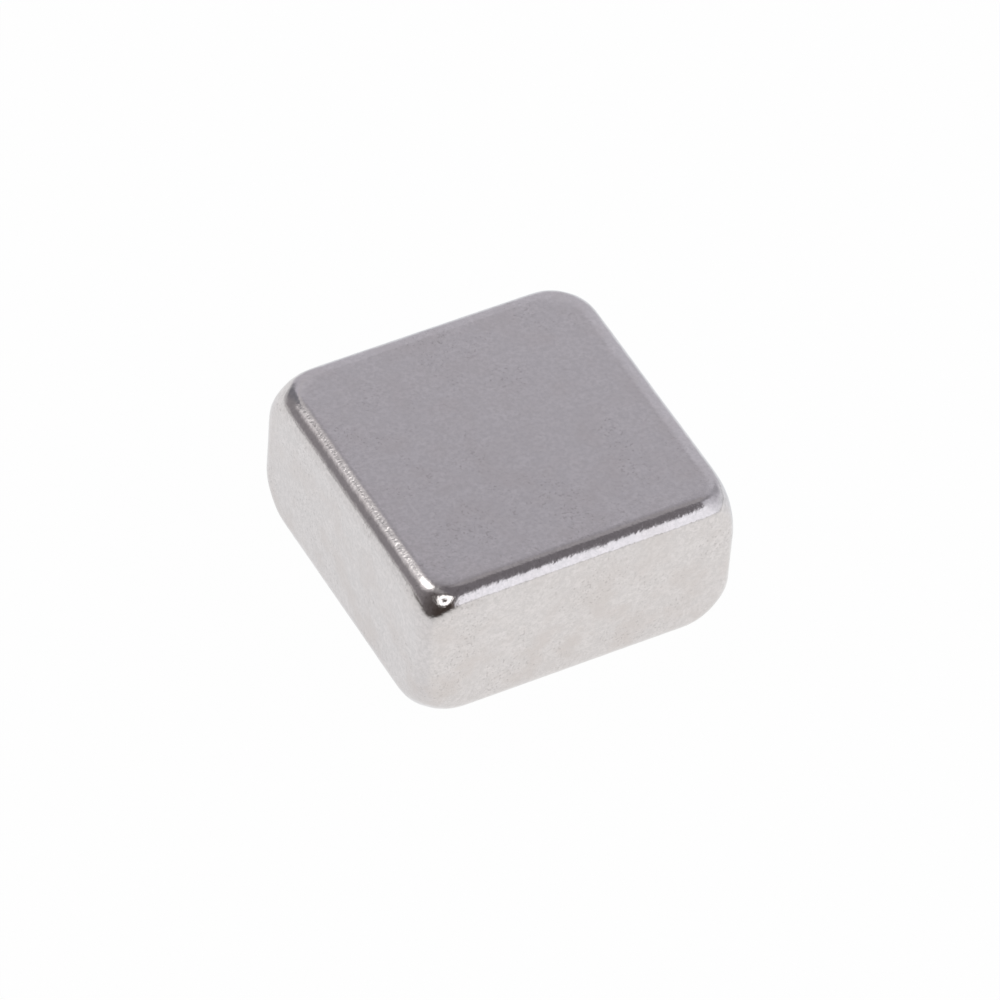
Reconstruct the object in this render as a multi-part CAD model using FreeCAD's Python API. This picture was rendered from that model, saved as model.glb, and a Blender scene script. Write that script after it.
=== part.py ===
import FreeCAD, Part
import math
import os

# Nickel-plated block magnet, built up the way it is made: a sintered neodymium-iron-boron
# block, tumbled until its edges are round and its corners worn, then plated all over with
# nickel, copper and nickel. Every layer is a closed skin with the same thickness everywhere,
# so each layer's surface is the tumbled block's own, set inwards by the layers over it.
#
# Millimetres. X and Y lie along the block's sides, +Z goes through its thickness and is the
# direction of magnetisation. The origin is the middle of the lower pole face.

length = 10.0                    # along X, over the plating
width = 10.0                     # along Y, over the plating
thickness = 5.0                  # along Z, over the plating

edge_radius = 0.65               # rounding of every edge, over the plating
corner_radius = 1.9              # radius of the ball that a worn corner is part of
corner_wear = 0.8                # how far along each of its edges a corner's wear begins

outer_nickel_thickness = 0.008   # bright nickel, the layer that shows
copper_thickness = 0.008         # copper between the two nickel layers
inner_nickel_thickness = 0.008   # nickel on the bare magnet

# The tumbled shape is what a ball of edge_radius sweeps when its centre goes all over a
# smaller solid, the rounding core: the block less edge_radius on every side, with corners
# worn to a ball that is smaller by edge_radius too.
core_sides = [size - 2 * edge_radius for size in (length, width, thickness)]
core_wear_radius = corner_radius - edge_radius


def wear_centre_setback():
    """How far a corner's ball centre lies from the corner, along X, Y and Z alike.

    The ball passes through the three points of the corner's edges that are corner_wear
    away from it, so 3 t**2 - 2 corner_wear t + corner_wear**2 = core_wear_radius**2.
    """
    root = math.sqrt(3 * core_wear_radius**2 - 2 * corner_wear**2)
    return (corner_wear + root) / 3


def worn_off_chip(side_x, side_y, side_z):
    """What wear takes off one corner of the rounding core."""
    corner = FreeCAD.Vector(*(side * size / 2 for side, size
                              in zip((side_x, side_y, side_z), core_sides)))
    setback = wear_centre_setback()
    centre = corner - FreeCAD.Vector(side_x, side_y, side_z) * setback
    low = FreeCAD.Vector(min(corner.x, centre.x), min(corner.y, centre.y), min(corner.z, centre.z))
    corner_cube = Part.makeBox(setback, setback, setback, low)
    return corner_cube.cut(Part.makeSphere(core_wear_radius, centre))


def rounding_core():
    """The solid that the rounding ball's centre goes all over."""
    core = Part.makeBox(*core_sides, FreeCAD.Vector(*(-size / 2 for size in core_sides)))
    chips = [worn_off_chip(side_x, side_y, side_z)
             for side_x in (-1, 1) for side_y in (-1, 1) for side_z in (-1, 1)]
    return core.cut(chips)


def tumbled_block(depth):
    """The tumbled shape whose surface lies depth below the plated surface."""
    offset_tolerance = 1e-6
    solid = rounding_core().makeOffsetShape(edge_radius - depth, offset_tolerance)
    solid.translate(FreeCAD.Vector(0, 0, thickness / 2))
    return solid


def skin(outside, inside):
    """The closed layer between two tumbled shapes, one inside the other."""
    return outside.cut(inside).Solids[0]


def build():
    """Each sub-part's solid, by the name of its node."""
    copper_depth = outer_nickel_thickness
    inner_nickel_depth = copper_depth + copper_thickness
    core_depth = inner_nickel_depth + inner_nickel_thickness

    plated = tumbled_block(0)
    coppered = tumbled_block(copper_depth)
    first_plated = tumbled_block(inner_nickel_depth)
    bare = tumbled_block(core_depth)
    return {
        "magnet_core": bare,
        "inner_nickel_layer": skin(first_plated, bare),
        "copper_layer": skin(coppered, first_plated),
        "outer_nickel_layer": skin(plated, coppered),
    }


os.makedirs("parts", exist_ok=True)
for node, shape in build().items():
    print(node, shape.ShapeType, "valid" if shape.isValid() else "INVALID",
          "solids", len(shape.Solids), "volume", round(shape.Volume, 4))
    shape.exportStep(f"parts/{node}.step")
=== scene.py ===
"""A nickel-plated block magnet lying on a pale light table.

The bare magnet, the inner nickel and the copper are the frame's own nodes and get their
finishes here. The bright nickel that shows is modelled here as a closed skin: it follows the
tumbled form of the block, and stands a few hundredths of a millimetre proud where plating
builds up on the edges, or where tumbling has worn an edge less than the rest.
"""
import math
import bpy
import numpy as np
from mathutils import Matrix, Vector, noise


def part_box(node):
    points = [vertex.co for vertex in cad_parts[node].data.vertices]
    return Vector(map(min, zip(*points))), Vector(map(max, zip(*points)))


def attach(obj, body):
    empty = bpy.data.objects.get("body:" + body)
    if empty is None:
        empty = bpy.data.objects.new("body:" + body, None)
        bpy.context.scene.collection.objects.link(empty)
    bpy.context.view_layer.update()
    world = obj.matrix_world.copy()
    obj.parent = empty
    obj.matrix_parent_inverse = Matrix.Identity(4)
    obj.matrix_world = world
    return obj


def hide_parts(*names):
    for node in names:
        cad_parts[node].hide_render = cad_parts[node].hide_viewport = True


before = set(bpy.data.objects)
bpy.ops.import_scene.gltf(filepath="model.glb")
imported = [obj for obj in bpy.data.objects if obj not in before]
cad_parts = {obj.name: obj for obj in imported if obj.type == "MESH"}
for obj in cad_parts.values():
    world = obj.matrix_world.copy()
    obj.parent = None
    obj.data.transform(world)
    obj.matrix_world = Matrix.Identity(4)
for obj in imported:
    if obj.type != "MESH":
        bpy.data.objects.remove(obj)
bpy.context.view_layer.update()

MM = 0.001

# ---- sizes of the tumbled block, in millimetres ----

block_low, block_high = (np.array(corner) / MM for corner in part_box("outer_nickel_layer"))
block_centre = (block_low + block_high) / 2
block_sides = block_high - block_low

edge_radius = 0.65                # rounding of every edge
corner_wear_most = 0.8            # furthest that a corner's wear reaches along its edges
plating_thickness = 0.008         # of the bright nickel

edge_build_up = 0.010             # least that the plating stands proud along the edges
edge_wave_length = 1.7            # length of the slow unevenness that tumbling leaves there
edge_wave_height = 0.012
nodule_spacing = 0.16             # small lumps in the plating on the edges
nodule_height = 0.004

softened_reach = 1.0              # how far in from the rounding the corners are softened
softening_fade = 0.4              # length over which the softening fades in
softening_rounds = 25

# What rounds the block: the centre of a ball of edge_radius goes all over this smaller box,
# whose corners are worn to a ball that its edges touch.
core_half = block_sides / 2 - edge_radius

# Tumbling wears no two corners alike. The wear of these doesn't reach as far as the rest.
corner_wear = {(-1, -1, 1): 0.45, (1, -1, 1): 0.55, (-1, 1, 1): 0.75, (1, 1, 1): 0.75,
               (1, 1, -1): 0.50}

# Nor does it wear all edges alike. These three, each named by its two faces, stand this much
# prouder than the rest.
edge_left_proud = {("+X", "+Z"): 0.03, ("+X", "-Y"): 0.055, ("-X", "+Y"): 0.01}
proud_edge_fade = 1.0             # length over which it sinks back to the rest, at each end


# ---- the bright nickel skin ----

def nearest_on_core(points, wear):
    """For points in one octant, the nearest points of the rounding core with a worn corner."""
    on_box = np.minimum(points, core_half)
    ball_centre = core_half - wear
    ball_radius = math.sqrt(2) * wear
    on_ball = outward(points, ball_centre, ball_radius)
    worn = np.all(on_box > ball_centre, axis=1)
    worn &= np.linalg.norm(on_box - ball_centre, axis=1) > ball_radius[:, 0]
    past_ball = worn & np.any(on_ball > core_half, axis=1)
    nearest = np.where(worn[:, None], on_ball, on_box)
    least = np.full(len(points), np.inf)
    for axis in range(3):
        centre = ball_centre.copy()
        centre[:, axis] = core_half[axis]
        in_face = points.copy()
        in_face[:, axis] = core_half[axis]
        on_rim = outward(in_face, centre, wear)
        distance = np.linalg.norm(points - on_rim, axis=1)
        closer = past_ball & (distance < least)
        least[closer] = distance[closer]
        nearest[closer] = on_rim[closer]
    return nearest


def outward(points, centre, radius):
    """The points moved straight away from a centre until they are radius from it."""
    away = points - centre
    return centre + radius * away / np.linalg.norm(away, axis=1, keepdims=True)


def tumbled(points, depth):
    """Points drawn onto the tumbled form, less a depth.

    Only the surface has corners of unlike wear. The layers under it have them all alike.
    """
    sides = np.where(points < 0, -1, 1)
    own_wear = corner_wear if depth == 0 else {}
    wear = np.array([own_wear.get(tuple(corner), corner_wear_most)
                     for corner in sides.tolist()])
    folded = np.abs(points)
    core = nearest_on_core(folded, wear[:, None])
    normals = folded - core
    normals /= np.linalg.norm(normals, axis=1, keepdims=True)
    return sides * (core + (edge_radius - depth) * normals)


def deselect_all():
    for obj in bpy.context.selected_objects:
        obj.select_set(False)


def cut_cube(name, cells):
    """A cube whose faces are cut into so many cells along X, Y and Z, each an even number."""
    deselect_all()
    bpy.ops.mesh.primitive_cube_add(size=2)
    cube = bpy.context.active_object
    cube.name = cube.data.name = name
    for axis, count in enumerate(cells):
        for cuts in (1, count // 2 - 1):
            select_edges_along(cube, axis)
            bpy.ops.object.mode_set(mode="EDIT")
            bpy.ops.mesh.subdivide(number_cuts=cuts)
            bpy.ops.object.mode_set(mode="OBJECT")
    return cube


def select_edges_along(obj, axis):
    """Selects the mesh's edges that run along an axis, and nothing else."""
    mesh = obj.data
    bpy.ops.object.mode_set(mode="EDIT")
    bpy.ops.mesh.select_mode(type="EDGE")
    bpy.ops.mesh.select_all(action="DESELECT")
    bpy.ops.object.mode_set(mode="OBJECT")
    ends = np.empty(len(mesh.edges) * 2, int)
    mesh.edges.foreach_get("vertices", ends)
    points = mesh_points(mesh)
    runs = np.abs(points[ends[1::2]] - points[ends[0::2]])
    mesh.edges.foreach_set("select", np.argmax(runs, axis=1) == axis)


def mesh_points(mesh):
    points = np.empty(len(mesh.vertices) * 3)
    mesh.vertices.foreach_get("co", points)
    return points.reshape(-1, 3)


def graded(share, cells, fillet_cells, half_core):
    """Turns even places from -1 to 1 into places that give the fillets their own cells.

    In a fillet the places lie at even angles as seen from its centre line.
    """
    step = np.rint((share + 1) / 2 * cells)
    from_end = np.minimum(step, cells - step)
    angle = np.clip(1 - from_end / fillet_cells, 0, 1) * math.pi / 4
    along_flat = np.clip((step - fillet_cells) / (cells - 2 * fillet_cells), 0, 1) * 2 - 1
    return along_flat * half_core + np.sign(share) * edge_radius * np.tan(angle)


def edge_share(points):
    """0 on the flats, rising to 1 in the middle of every rounded edge and all over the corners."""
    beyond_flat = np.sort(np.abs(points) - core_half, axis=1)[:, 1]
    return smooth(beyond_flat, 0, edge_radius * math.sin(math.pi / 4))


def proud_of_wear(points):
    """How much prouder the less worn edges stand, fading out towards their ends."""
    proud = np.zeros(len(points))
    for faces, height in edge_left_proud.items():
        axes = ["XYZ".index(face[1]) for face in faces]
        along = 3 - sum(axes)
        near = smooth(core_half[along] - np.abs(points[:, along]), 0, proud_edge_fade)
        for face, axis in zip(faces, axes):
            side = {"+": 1, "-": -1}[face[0]]
            near *= smooth(side * points[:, axis] - core_half[axis], -edge_radius, 0)
        proud += height * near
    return proud


def smooth(values, low, high):
    """0 up to low, 1 from high on, and a smooth rise between."""
    rise = np.clip((values - low) / (high - low), 0, 1)
    return rise * rise * (3 - 2 * rise)


def plating_relief(points):
    """How far the plating stands proud of the tumbled form, never below it."""
    waves = np.array([0.5 + 0.5 * noise.noise(Vector(p / edge_wave_length)) for p in points])
    lumps = np.array([noise.noise(Vector(p / nodule_spacing)) for p in points])
    relief = edge_build_up + edge_wave_height * waves + nodule_height * np.clip(lumps, -0.5, 1)
    return (relief + proud_of_wear(points)) * edge_share(points)


def tumbled_wall(name, depth, fillet_cells, flat_cell):
    """One wall of the skin: a cut cube drawn onto the tumbled form."""
    flat_cells = [2 * round(half / flat_cell) for half in core_half]
    cells = [2 * fillet_cells + count for count in flat_cells]
    wall = cut_cube(name, cells)
    points = mesh_points(wall.data)
    for axis in range(3):
        points[:, axis] = graded(points[:, axis], cells[axis], fillet_cells, core_half[axis])
    move_points(wall.data, tumbled(points, depth))
    return wall


def skin_points(mesh):
    """A wall's points, in millimetres from the middle of the block."""
    return mesh_points(mesh) / MM - block_centre


def move_points(mesh, points):
    mesh.vertices.foreach_set("co", ((points + block_centre) * MM).ravel())
    mesh.update()


def soften_corners(wall):
    """Eases the wall's corners, so that their ball runs into the edges without a crease."""
    reach = np.min(np.abs(skin_points(wall.data)) - core_half, axis=1) + softened_reach
    weights = smooth(reach, 0, softening_fade).round(2)
    group = wall.vertex_groups.new(name="corners")
    for weight in np.unique(weights[weights > 0]):
        group.add(np.flatnonzero(weights == weight).tolist(), float(weight), "REPLACE")
    smoothing = wall.modifiers.new("soften", "SMOOTH")
    smoothing.vertex_group = group.name
    smoothing.factor = 0.5
    smoothing.iterations = softening_rounds
    deselect_all()
    bpy.context.view_layer.objects.active = wall
    bpy.ops.object.modifier_apply(modifier=smoothing.name)
    wall.vertex_groups.clear()


def build_up(wall):
    """Thickens the plating outwards along the edges and over the corners."""
    normals = np.empty(len(wall.data.vertices) * 3)
    wall.data.vertices.foreach_get("normal", normals)
    points = skin_points(wall.data)
    relief = plating_relief(points)[:, None]
    thickened = points + normals.reshape(-1, 3) * relief
    move_points(wall.data, np.clip(thickened, -block_sides / 2, block_sides / 2))


def turn_inside_out(obj):
    deselect_all()
    obj.select_set(True)
    bpy.context.view_layer.objects.active = obj
    bpy.ops.object.mode_set(mode="EDIT")
    bpy.ops.mesh.select_all(action="SELECT")
    bpy.ops.mesh.flip_normals()
    bpy.ops.object.mode_set(mode="OBJECT")


def bright_nickel_skin():
    """The closed skin of bright nickel, with the wall that shows and the wall on the copper."""
    inner_wall = tumbled_wall("copper_side", plating_thickness, fillet_cells=6, flat_cell=0.5)
    turn_inside_out(inner_wall)
    skin = tumbled_wall("bright_nickel_plating", 0, fillet_cells=16, flat_cell=0.08)
    soften_corners(skin)
    build_up(skin)
    deselect_all()
    inner_wall.select_set(True)
    skin.select_set(True)
    bpy.context.view_layer.objects.active = skin
    bpy.ops.object.join()
    deselect_all()
    skin.select_set(True)
    bpy.ops.object.shade_smooth()
    return skin


# ---- shader arithmetic ----

class Value:
    """One socket of a node tree, with Python's arithmetic on it."""

    def __init__(self, tree, socket):
        self.tree = tree
        self.socket = socket

    def math(self, operation, *others):
        return Nodes(self.tree).make("ShaderNodeMath", {"operation": operation}, [self, *others])

    def __add__(self, other):
        return self.math("ADD", other)

    def __radd__(self, other):
        return self.math("ADD", other)

    def __sub__(self, other):
        return self.math("SUBTRACT", other)

    def __rsub__(self, other):
        return (self * -1) + other

    def __mul__(self, other):
        return self.math("MULTIPLY", other)

    def __truediv__(self, other):
        return self.math("DIVIDE", other)

    def __pow__(self, other):
        return self.math("POWER", other)

    def __abs__(self):
        return self.math("ABSOLUTE")

    def least(self, other):
        return self.math("MINIMUM", other)

    def most(self, other):
        return self.math("MAXIMUM", other)

    def ramp(self, low, high, start=0.0, end=1.0):
        """Goes smoothly from start to end while this value goes from low to high."""
        settings = {"interpolation_type": "SMOOTHSTEP"}
        return Nodes(self.tree).make("ShaderNodeMapRange", settings, [self, low, high, start, end])


class Nodes:
    """Makes nodes in one tree."""

    def __init__(self, tree):
        self.tree = tree

    def make(self, kind, settings=None, inputs=(), output=0):
        """A node with its settings, then its inputs, by place or by name; gives one output."""
        node = self.tree.nodes.new(kind)
        for name, value in (settings or {}).items():
            setattr(node, name, value)
        pairs = inputs.items() if isinstance(inputs, dict) else enumerate(inputs)
        for place, value in pairs:
            if isinstance(value, Value):
                self.tree.links.new(value.socket, node.inputs[place])
            else:
                node.inputs[place].default_value = value
        return Value(self.tree, node.outputs[output])

    def place(self):
        """Where the shaded point is, in millimetres from the middle of the block."""
        coordinates = self.make("ShaderNodeTexCoord", output="Object")
        in_mm = [1 / MM] * 3
        moved = [-c for c in block_centre]
        return self.make("ShaderNodeMapping", {"vector_type": "POINT"},
                         {"Vector": coordinates, "Location": moved, "Scale": in_mm})

    def split(self, vector):
        node = self.tree.nodes.new("ShaderNodeSeparateXYZ")
        self.tree.links.new(vector.socket, node.inputs[0])
        return [Value(self.tree, output) for output in node.outputs]

    @staticmethod
    def azimuth(x, y):
        """In degrees from +Y towards +X."""
        return x.math("ARCTAN2", y) * math.degrees(1)

    def oval(self, direction, azimuth, elevation, half_width, half_height):
        """How far a direction is from the middle of an oval in the room, with 1 on its rim.

        All are in degrees, and the oval faces its bearing. What lies behind is far outside it.
        """
        ahead = Vector(bearing(azimuth, elevation))
        across = Vector(bearing(azimuth + 90, 0))
        upwards = across.cross(ahead)
        depth = self.dot(direction, ahead).most(0.05)
        u = self.dot(direction, across) / (depth * math.tan(math.radians(half_width)))
        v = self.dot(direction, upwards) / (depth * math.tan(math.radians(half_height)))
        return (u * u + v * v) ** 0.5

    def dot(self, vector, other):
        return self.make("ShaderNodeVectorMath", {"operation": "DOT_PRODUCT"},
                         [vector, tuple(other)], output=1)

    def noise(self, vector, size, detail=3.0, roughness=0.5):
        """Noise around 0.5 whose blotches are about size across, in millimetres."""
        return self.make("ShaderNodeTexNoise", {"noise_dimensions": "3D"},
                         {"Vector": vector, "Scale": 1 / size, "Detail": detail,
                          "Roughness": roughness})

    def show(self, surface, output="ShaderNodeOutputMaterial"):
        """Ends the tree in an output that shows a shader."""
        node = self.tree.nodes.new(output)
        self.tree.links.new(surface.socket, node.inputs["Surface"])

    def mix_colours(self, share, first, second):
        return self.make("ShaderNodeMix", {"data_type": "RGBA"},
                         {0: share, 6: first, 7: second}, output=2)


def new_material(name):
    material = bpy.data.materials.new(name)
    material.use_nodes = True
    material.node_tree.nodes.clear()
    return material, Nodes(material.node_tree)


def rgba(red, green, blue):
    return (red, green, blue, 1.0)


def finish_material(nodes, inputs):
    """Ends a material in one principled shader with these inputs."""
    nodes.show(nodes.make("ShaderNodeBsdfPrincipled", {}, inputs))


def bright_nickel():
    """Bright electroplated nickel: glossy, finely pebbled on the edges, with faint brownish
    blotches and dark specks.
    """
    material, nodes = new_material("bright_nickel")
    place = nodes.place()
    x, y, z = nodes.split(place)
    beyond_x, beyond_y, beyond_z = (abs(part) - half
                                    for part, half in zip((x, y, z), core_half.tolist()))
    beyond_flat = beyond_x.least(beyond_y).most(beyond_x.least(beyond_z))
    on_edge = beyond_flat.most(beyond_y.least(beyond_z)).ramp(-0.05, 0.16)

    # Fine grain, soft clouds, brownish blotches that are stronger towards the bottom, and dark
    # specks.
    cloud = nodes.noise(place, 0.45, detail=4.0, roughness=0.6)
    grain = nodes.noise(place, 0.13, detail=3.0, roughness=0.75)
    brown_blotches = nodes.noise(place, 1.3, detail=5.0, roughness=0.62).ramp(0.42, 0.68)
    # The brownish blotches, a little darker than the nickel, grow stronger towards the bottom of
    # the block.
    brown_blotches = brown_blotches * z.ramp(2.6, -1.5, 0.45, 1.0)
    speck = nodes.noise(place, 0.085, detail=1.0, roughness=0.5).ramp(0.60, 0.68)
    speck = speck * nodes.noise(place, 1.6, detail=3.0, roughness=0.6).ramp(0.46, 0.60)
    colour = nodes.mix_colours(grain.ramp(0.36, 0.64), rgba(0.648, 0.617, 0.605),
                               rgba(0.748, 0.709, 0.697))
    colour = nodes.mix_colours(cloud.ramp(0.35, 0.70) * 0.5, colour, rgba(0.655, 0.625, 0.615))
    colour = nodes.mix_colours(brown_blotches * 0.75, colour, rgba(0.640, 0.590, 0.565))
    colour = nodes.mix_colours(speck * 0.45, colour, rgba(0.430, 0.400, 0.390))

    pebbles = nodes.noise(place, 0.085, detail=2.0, roughness=0.55)
    height = pebbles * on_edge * 0.004 + grain * 0.0010 + cloud * 0.0012 - speck * 0.0008
    bump = nodes.make("ShaderNodeBump", {}, {"Strength": 1.0, "Distance": MM, "Height": height})
    roughness = 0.15 + cloud * 0.05 - on_edge * 0.075
    finish_material(nodes, {"Base Color": colour, "Metallic": 1.0, "Roughness": roughness,
                            "Normal": bump})
    return material


def matte_nickel():
    """The first nickel, plated dull so that copper holds on it."""
    material, nodes = new_material("matte_nickel")
    place = nodes.place()
    satin = nodes.noise(place, 0.06, detail=3.0, roughness=0.6)
    cloud = nodes.noise(place, 0.9, detail=4.0, roughness=0.6)
    colour = nodes.mix_colours(cloud, rgba(0.50, 0.49, 0.46), rgba(0.60, 0.58, 0.55))
    bump = nodes.make("ShaderNodeBump", {}, {"Strength": 1.0, "Distance": MM,
                                             "Height": satin * 0.004})
    finish_material(nodes, {"Base Color": colour, "Metallic": 1.0,
                            "Roughness": 0.42 + satin * 0.12, "Normal": bump})
    return material


def copper():
    """Semi-bright copper between the nickel layers, faintly darkened in patches."""
    material, nodes = new_material("copper")
    place = nodes.place()
    cloud = nodes.noise(place, 0.8, detail=5.0, roughness=0.62)
    grain = nodes.noise(place, 0.05, detail=3.0, roughness=0.6)
    colour = nodes.mix_colours(cloud.ramp(0.35, 0.7), rgba(0.90, 0.48, 0.33),
                               rgba(0.70, 0.33, 0.22))
    bump = nodes.make("ShaderNodeBump", {}, {"Strength": 1.0, "Distance": MM,
                                             "Height": grain * 0.003})
    finish_material(nodes, {"Base Color": colour, "Metallic": 1.0,
                            "Roughness": 0.26 + cloud * 0.14, "Normal": bump})
    return material


def sintered_magnet():
    """Bare sintered neodymium-iron-boron: dark grey, granular, ground and tumbled."""
    material, nodes = new_material("sintered_magnet")
    place = nodes.place()
    grains = nodes.make("ShaderNodeTexVoronoi", {"feature": "F1"},
                        {"Vector": place, "Scale": 1 / 0.05})
    cloud = nodes.noise(place, 0.5, detail=5.0, roughness=0.65)
    colour = nodes.mix_colours(cloud, rgba(0.16, 0.155, 0.15), rgba(0.27, 0.26, 0.25))
    bump = nodes.make("ShaderNodeBump", {}, {"Strength": 1.0, "Distance": MM,
                                             "Height": grains * 0.010 + cloud * 0.006})
    finish_material(nodes, {"Base Color": colour, "Metallic": 0.85,
                            "Roughness": 0.48 + cloud * 0.18, "Normal": bump})
    return material


def clad(obj, material):
    obj.data.materials.clear()
    obj.data.materials.append(material)


# ---- the studio ----

# Azimuths are in degrees from +Y towards +X, and elevations in degrees up. Other lengths are
# in millimetres.
camera_azimuth, camera_elevation = -148.63, 46.32
table_radius = 1.5                # in metres
lamp_distance = 0.5               # in metres
lamp_white = rgba(2.0, 2.0, 2.0)  # bright enough to stay white in the metal's mirror

bright_radius = 7.0               # the table is evenly lit this far from the block's middle
shortest_reach = 34.0             # beyond that, the distance at which it has half faded
longest_reach = 254.0
shadow_share = 0.02               # of what the camera sees of the table, for the faint shadow


def light_table():
    """A lit white table top, which keeps a faint shadow under the block.

    Metal sees it fade with distance, into the dark room in front on the left, and into the
    grey wall behind on the right.
    """
    deselect_all()
    bpy.ops.mesh.primitive_circle_add(vertices=96, radius=table_radius, fill_type="NGON")
    table = bpy.context.active_object
    table.name = "light_table"
    material, nodes = new_material("light_table")
    by_camera = nodes.make("ShaderNodeLightPath", output="Is Camera Ray")
    by_metal = nodes.make("ShaderNodeLightPath", output="Is Glossy Ray").most(
        nodes.make("ShaderNodeLightPath", output="Is Transmission Ray"))

    x, y, _ = nodes.split(nodes.place())
    azimuth = nodes.azimuth(x, y)
    from_side = (abs(x) - block_sides[0] / 2).most(abs(y) - block_sides[1] / 2)
    far_off = ((x * x + y * y) ** 0.5 - bright_radius).most(0)
    right_back = azimuth.ramp(-12, 0) * azimuth.ramp(85, 65)
    lit_side = azimuth.ramp(-75, -45) * azimuth.ramp(176, 166)
    reach = lit_side * (1 - right_back) * (longest_reach - shortest_reach) + shortest_reach
    near = ((far_off / reach) ** 2 + 1) ** -1
    distant = nodes.mix_colours(right_back, rgba(0.060, 0.050, 0.045), rgba(0.600, 0.600, 0.660))
    colour = nodes.mix_colours(azimuth.ramp(-15, 10), rgba(0.912, 0.922, 0.938),
                               rgba(0.870, 0.900, 0.945))
    in_front = azimuth.ramp(85, 125) + azimuth.ramp(-130, -145)
    colour = nodes.mix_colours(in_front, colour, rgba(0.979, 0.984, 0.987))
    # Painted shade: the table's glow, as the metal sees it, is darkened close beside the block
    # where the block would shade it.
    painted_block_shade = from_side.ramp(2.0, 0.2) * 0.02
    colour = nodes.mix_colours(painted_block_shade, colour, rgba(0, 0, 0))
    seen_in_metal = nodes.mix_colours(near, distant, colour)
    seen = nodes.mix_colours(by_metal, rgba(1, 1, 1), seen_in_metal)
    glow = nodes.make("ShaderNodeEmission", {}, {"Color": seen, "Strength": 1.0})
    paper = nodes.make("ShaderNodeBsdfDiffuse", {}, {"Color": rgba(0.9, 0.9, 0.9)})
    glowing = by_camera * (1 - shadow_share) + by_metal
    nodes.show(nodes.make("ShaderNodeMixShader", {}, [glowing, paper, glow]))
    clad(table, material)


def bearing(azimuth, elevation):
    """The direction at an azimuth, in degrees from +Y towards +X, and an elevation."""
    azimuth, elevation = math.radians(azimuth), math.radians(elevation)
    return (math.sin(azimuth) * math.cos(elevation), math.cos(azimuth) * math.cos(elevation),
            math.sin(elevation))


def dark_room(nodes, azimuth, elevation):
    """The left half: nearly black in front, and greyer towards the back and low down there.

    Overhead it is the grey of the ceiling.
    """
    room = nodes.mix_colours(azimuth.ramp(-150, -45), rgba(0.065, 0.052, 0.047),
                             rgba(0.306, 0.294, 0.312))
    room = nodes.mix_colours(azimuth.ramp(-35, -5), room, rgba(0.225, 0.228, 0.255))
    low_haze = elevation.ramp(14, -6) * azimuth.ramp(-110, -55)
    room = nodes.mix_colours(low_haze, room, rgba(0.800, 0.800, 0.815))
    return nodes.mix_colours(elevation.ramp(66, 80), room, rgba(0.350, 0.345, 0.355))


def lit_room(nodes, direction, azimuth, elevation):
    """The right half: a grey wall behind, a stand, and a white panel that brightens in front.

    The ceiling is dark, with one lit beam. In front, the camera hides part of the panel.
    """
    x, y, z = nodes.split(direction)
    ceiling = rgba(0.197, 0.187, 0.206)
    room = nodes.mix_colours(azimuth.ramp(5, 55), rgba(0.585, 0.580, 0.640),
                             rgba(0.622, 0.622, 0.688))
    low_haze = elevation.ramp(22, -6) * azimuth.ramp(50, 80)
    room = nodes.mix_colours(low_haze, room, rgba(0.850, 0.875, 0.925))
    stand = azimuth.ramp(58, 74) * azimuth.ramp(94, 80) * elevation.ramp(6, 26)
    room = nodes.mix_colours(stand * 0.6, room, rgba(0.310, 0.310, 0.345))
    above_rail = elevation.ramp(40, 100) + elevation.ramp(43.7, 48) * 0.34
    room = nodes.mix_colours(above_rail * azimuth.ramp(92, 80), room, ceiling)
    room = nodes.mix_colours(azimuth.ramp(88, 152), room, rgba(1.160, 1.180, 1.265))
    behind_lens = (z - x * 1.3).ramp(0.17, 0.33) * azimuth.ramp(110, 130)
    room = nodes.mix_colours(behind_lens, room, rgba(0.200, 0.195, 0.205))
    room = nodes.mix_colours(azimuth.ramp(164, 175), room, rgba(0.140, 0.120, 0.115))
    overhead = z - y * 0.2 - x * 0.4
    room = nodes.mix_colours(overhead.ramp(0.64, 0.75), room, ceiling)
    beam = nodes.oval(direction, 58, 62, 10, 8.5).ramp(1.2, 0.75)
    return nodes.mix_colours(beam, room, rgba(0.395, 0.385, 0.410))


def hang_back_lamp(nodes, around, direction, azimuth, elevation):
    """Behind on the left, a lamp in a glow of light, over a grey shelf on a dark arch."""
    over_arch = (elevation + ((azimuth + 12) / 16) ** 2 * 7).ramp(48.8, 50.3)
    shelf = over_arch * azimuth.ramp(-34, -26) * azimuth.ramp(20, 4) * elevation.ramp(66, 58)
    around = nodes.mix_colours(shelf, around, rgba(0.600, 0.590, 0.610))
    side_glow = nodes.oval(direction, -38, 57, 28, 25).ramp(1.05, 0.10) * over_arch
    side_glow = side_glow * azimuth.ramp(-18, -30) * 0.75
    around = nodes.mix_colours(side_glow, around, rgba(1.20, 1.18, 1.20))
    over_shelf = (elevation - ((azimuth + 16).least(0)) * 0.35).ramp(54, 57)
    glow = nodes.oval(direction, -25, 60, 26, 17).ramp(1.0, 0.5) * over_shelf
    around = nodes.mix_colours(glow, around, rgba(1.10, 1.08, 1.10))
    lamp = nodes.oval(direction, -26, 62, 12.5, 13).ramp(1.15, 0.85) * over_shelf
    return nodes.mix_colours(lamp, around, lamp_white)


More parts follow.
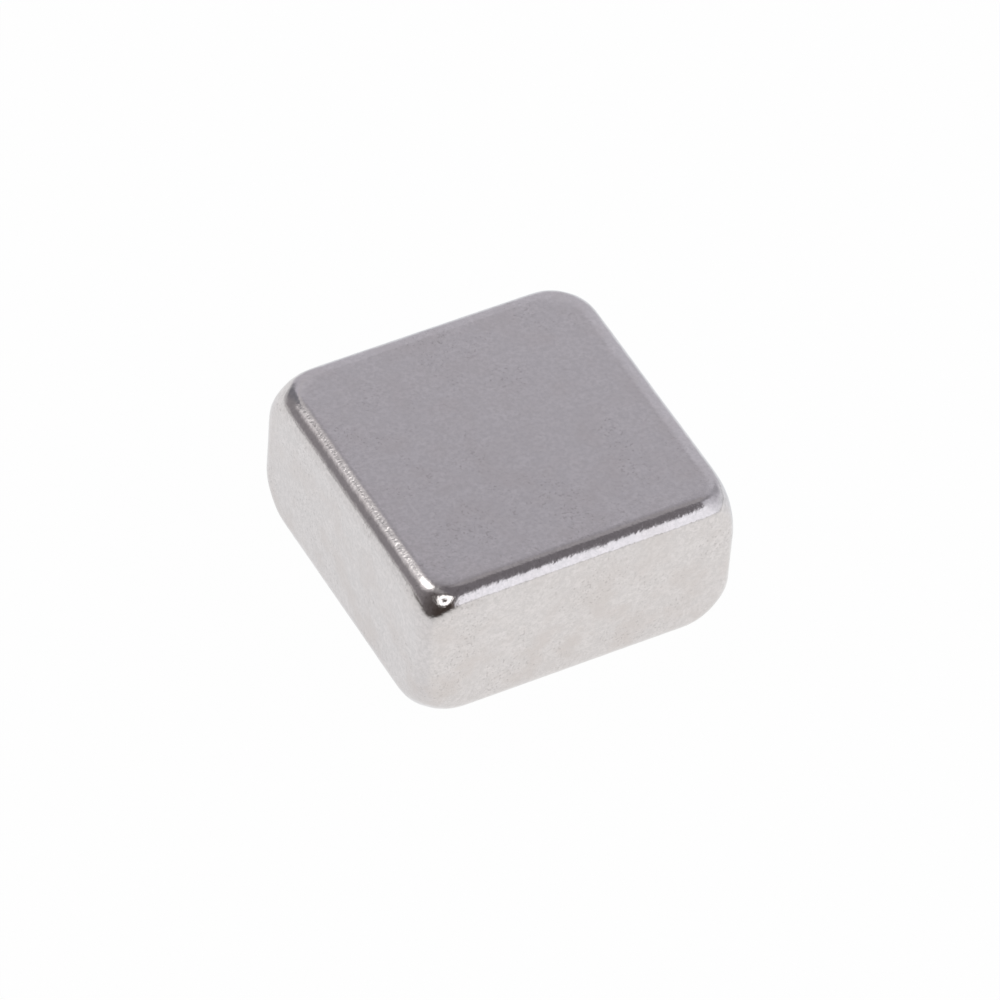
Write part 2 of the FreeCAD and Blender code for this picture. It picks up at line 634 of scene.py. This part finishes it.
def studio_walls():
    """What stands round the table, by direction, and plain white as a backdrop.

    The camera looks through a ring of light.
    """
    world = bpy.data.worlds.new("studio")
    bpy.context.scene.world = world
    world.use_nodes = True
    world.node_tree.nodes.clear()
    nodes = Nodes(world.node_tree)
    direction = nodes.make("ShaderNodeTexCoord", output="Generated")
    x, y, z = nodes.split(direction)
    azimuth = nodes.azimuth(x, y)
    elevation = z.math("ARCSINE") * math.degrees(1)

    around = nodes.mix_colours(azimuth.ramp(-5, 5), dark_room(nodes, azimuth, elevation),
                               lit_room(nodes, direction, azimuth, elevation))
    around = hang_back_lamp(nodes, around, direction, azimuth, elevation)
    lens = nodes.oval(direction, -156, 45.5, 20, 22.5)
    ring = lens.ramp(1.10, 0.92) * lens.ramp(0.28, 0.42)
    around = nodes.mix_colours(ring, around, lamp_white)

    by_camera = nodes.make("ShaderNodeLightPath", output="Is Camera Ray")
    room = nodes.make("ShaderNodeBackground", {}, {"Color": around, "Strength": 1.0})
    backdrop = nodes.make("ShaderNodeBackground", {}, {"Color": rgba(1, 1, 1), "Strength": 1.0})
    nodes.show(nodes.make("ShaderNodeMixShader", {}, [by_camera, room, backdrop]),
               output="ShaderNodeOutputWorld")


def soft_light(name, azimuth, elevation, width, height, brightness):
    """An oval lamp that faces the block, its width and height in degrees as seen from it.

    Brightness is what metal sees in it, with 1 as white.
    """
    lamp = bpy.data.lights.new(name, "AREA")
    lamp.shape = "ELLIPSE"
    lamp.size = 2 * lamp_distance * math.tan(math.radians(width / 2))
    lamp.size_y = 2 * lamp_distance * math.tan(math.radians(height / 2))
    lamp.energy = brightness * math.pi * (math.pi / 4 * lamp.size * lamp.size_y)
    obj = bpy.data.objects.new(name, lamp)
    bpy.context.scene.collection.objects.link(obj)
    towards = Vector(bearing(azimuth, elevation))
    obj.location = Vector((block_centre * MM).tolist()) + towards * lamp_distance
    obj.rotation_euler = towards.to_track_quat("Z", "Y").to_euler()
    obj.visible_camera = False


def viewpoint():
    """The camera: a long lens, above the front left edge."""
    distance, lens = 245.1 * MM, 310.9
    roll = math.radians(4.53)
    aside, below = -0.069 * MM, 0.070 * MM
    back = Vector(bearing(camera_azimuth, camera_elevation))
    level = Vector((0, 0, 1)).cross(back).normalized()
    upright = level.cross(-back)
    right = level * math.cos(roll) + upright * math.sin(roll)
    up = upright * math.cos(roll) - level * math.sin(roll)
    camera = bpy.data.cameras.new("camera")
    camera.lens = lens
    camera.sensor_width = 36.0
    camera.clip_start, camera.clip_end = 0.01, 10.0
    obj = bpy.data.objects.new("camera", camera)
    bpy.context.scene.collection.objects.link(obj)
    place = Vector((block_centre * MM).tolist()) + back * distance - right * aside - up * below
    turn = Matrix((right, up, back)).transposed().to_4x4()
    obj.matrix_world = Matrix.Translation(place) @ turn
    bpy.context.scene.camera = obj


# ---- the magnet ----

skin = bright_nickel_skin()
clad(skin, bright_nickel())
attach(skin, "root")
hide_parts("outer_nickel_layer")

clad(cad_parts["copper_layer"], copper())
clad(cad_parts["inner_nickel_layer"], matte_nickel())
clad(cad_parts["magnet_core"], sintered_magnet())

light_table()
studio_walls()
soft_light("high_lamp", azimuth=-26, elevation=65, width=24, height=17, brightness=0.8)
viewpoint()

scene = bpy.context.scene
scene.view_settings.view_transform = "Standard"
